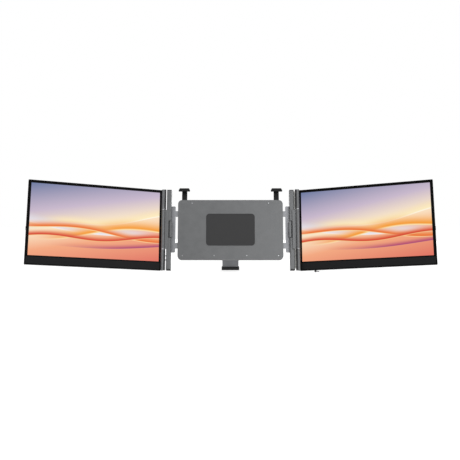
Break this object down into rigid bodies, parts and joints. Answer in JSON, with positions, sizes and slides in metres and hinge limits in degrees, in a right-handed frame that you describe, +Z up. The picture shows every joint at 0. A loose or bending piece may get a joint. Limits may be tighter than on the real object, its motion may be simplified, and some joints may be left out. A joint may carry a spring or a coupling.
{
  "type": "laptop screen extender",
  "caption": "Pair of hinged side screens on a sprung bracket that clamps behind a laptop's lid, with top clips and a telescoping kickstand.",
  "frame": {"origin": "middle of the contact pad's front face, which rests on the back of the laptop's lid", "axes": "+X along the lid to the viewer's right, +Y away from the viewer, +Z up; the bracket leans back 12.6 degrees with the lid"},
  "size_m": [0.9514, 0.2367, 0.228],
  "materials": {
    "grey_alloy": "anodised satin",
    "light_alloy": "anodised satin",
    "steel": "brushed",
    "spring_steel": "drawn wire",
    "black_plastic": "fine matt",
    "black_bezel": "semi-gloss",
    "charcoal": "fine matt",
    "casing": "anodised matt",
    "rubber": "matt",
    "nylon": "satin",
    "display": "anti-glare",
    "backlight": "satin",
    "board": "solder mask"
  },
  "bodies": {
    "bracket": {"lid_pad": "rubber", "front_plate": "grey_alloy", "back_cover": "grey_alloy", "cover_screws": "steel", "glide_strips": "nylon", "kickstand_pin": "steel", "left_arm_spring": "spring_steel", "right_arm_spring": "spring_steel", "left_clip_spring": "spring_steel", "right_clip_spring": "spring_steel"},
    "left_arm": {"left_arm_plate": "steel", "left_column": "grey_alloy", "left_column_caps": "charcoal", "left_column_screws": "steel", "left_jaw": "grey_alloy", "left_jaw_pad": "rubber", "left_hinge_wing": "grey_alloy", "left_hinge_pin": "steel", "left_hinge_washers": "steel"},
    "left_screen": {"left_bezel": "black_bezel", "left_display": "display", "left_backlight": "backlight", "left_chin": "charcoal", "left_back_shell": "casing", "left_hinge_spine": "grey_alloy", "left_hinge_strips": "black_plastic", "left_driver_board": "board", "left_port_sockets": "steel", "left_shell_screws": "steel"},
    "left_key": {"left_power_key": "black_plastic"},
    "left_clip": {"left_top_clip": "black_plastic", "left_clip_pad": "rubber"},
    "right_arm": {"right_arm_plate": "steel", "right_column": "grey_alloy", "right_column_caps": "charcoal", "right_column_screws": "steel", "right_jaw": "grey_alloy", "right_jaw_pad": "rubber", "right_hinge_wing": "grey_alloy", "right_hinge_pin": "steel", "right_hinge_washers": "steel", "right_hinge_rail": "light_alloy"},
    "right_screen": {"right_bezel": "black_bezel", "right_display": "display", "right_backlight": "backlight", "right_chin": "charcoal", "right_back_shell": "casing", "right_hinge_spine": "grey_alloy", "right_hinge_strips": "black_plastic", "right_driver_board": "board", "right_port_sockets": "steel", "right_shell_screws": "steel"},
    "right_key": {"right_power_key": "black_plastic"},
    "right_clip": {"right_top_clip": "black_plastic", "right_clip_pad": "rubber"},
    "rocker": {"right_control_rocker": "black_plastic"},
    "stand_leg": {"kickstand_leg": "grey_alloy"},
    "stand_foot": {"kickstand_foot": "steel", "kickstand_tip": "rubber"}
  },
  "joints": [
    {"name": "left_arm_slide", "type": "slide", "parent": "bracket", "child": "left_arm", "axis": [-1, 0, 0], "range_m": [0, 0.05], "stiffness_N_per_m": 300, "springref_m": -0.04, "deforming": ["left_arm_spring"]},
    {"name": "right_arm_slide", "type": "slide", "parent": "bracket", "child": "right_arm", "axis": [1, 0, 0], "range_m": [0, 0.05], "stiffness_N_per_m": 300, "springref_m": -0.04, "deforming": ["right_arm_spring"]},
    {"name": "left_screen_hinge", "type": "hinge", "parent": "left_arm", "child": "left_screen", "pos_m": [-0.1654, -0.00756, 0.00169], "axis": [0, 0.2181, 0.9759], "range_deg": [-18.7, 161.3]},
    {"name": "right_screen_hinge", "type": "hinge", "parent": "right_arm", "child": "right_screen", "pos_m": [0.1654, -0.01435, 0.00321], "axis": [0, -0.2181, -0.9759], "range_deg": [-68.7, 161.3]},
    {"name": "left_clip_lift", "type": "slide", "parent": "bracket", "child": "left_clip", "axis": [0, 0.2181, 0.9759], "range_m": [0, 0.045], "stiffness_N_per_m": 120, "springref_m": -0.03, "deforming": ["left_clip_spring"]},
    {"name": "right_clip_lift", "type": "slide", "parent": "bracket", "child": "right_clip", "axis": [0, 0.2181, 0.9759], "range_m": [0, 0.045], "stiffness_N_per_m": 120, "springref_m": -0.03, "deforming": ["right_clip_spring"]},
    {"name": "kickstand_hinge", "type": "hinge", "parent": "bracket", "child": "stand_leg", "pos_m": [0, 0.02766, 0.04812], "axis": [1, 0, 0], "range_deg": [-38, 22]},
    {"name": "kickstand_reach", "type": "slide", "parent": "stand_leg", "child": "stand_foot", "axis": [0, 0.4289, -0.9033], "range_m": [-0.02, 0.012]},
    {"name": "left_key_press", "type": "slide", "parent": "left_screen", "child": "left_key", "axis": [0.9472, 0.3129, -0.0699], "range_m": [0, 0.0004], "stiffness_N_per_m": 2500, "springref_m": -0.0003},
    {"name": "right_key_press", "type": "slide", "parent": "right_screen", "child": "right_key", "axis": [-0.9472, 0.3129, -0.0699], "range_m": [0, 0.0004], "stiffness_N_per_m": 2500, "springref_m": -0.0003},
    {"name": "rocker_tilt", "type": "hinge", "parent": "right_screen", "child": "rocker", "pos_m": [0.20507, -0.03918, -0.09402], "axis": [0.3206, 0.9244, -0.2066], "range_deg": [-5, 5], "stiffness_Nm_per_rad": 0.02}
  ]
}
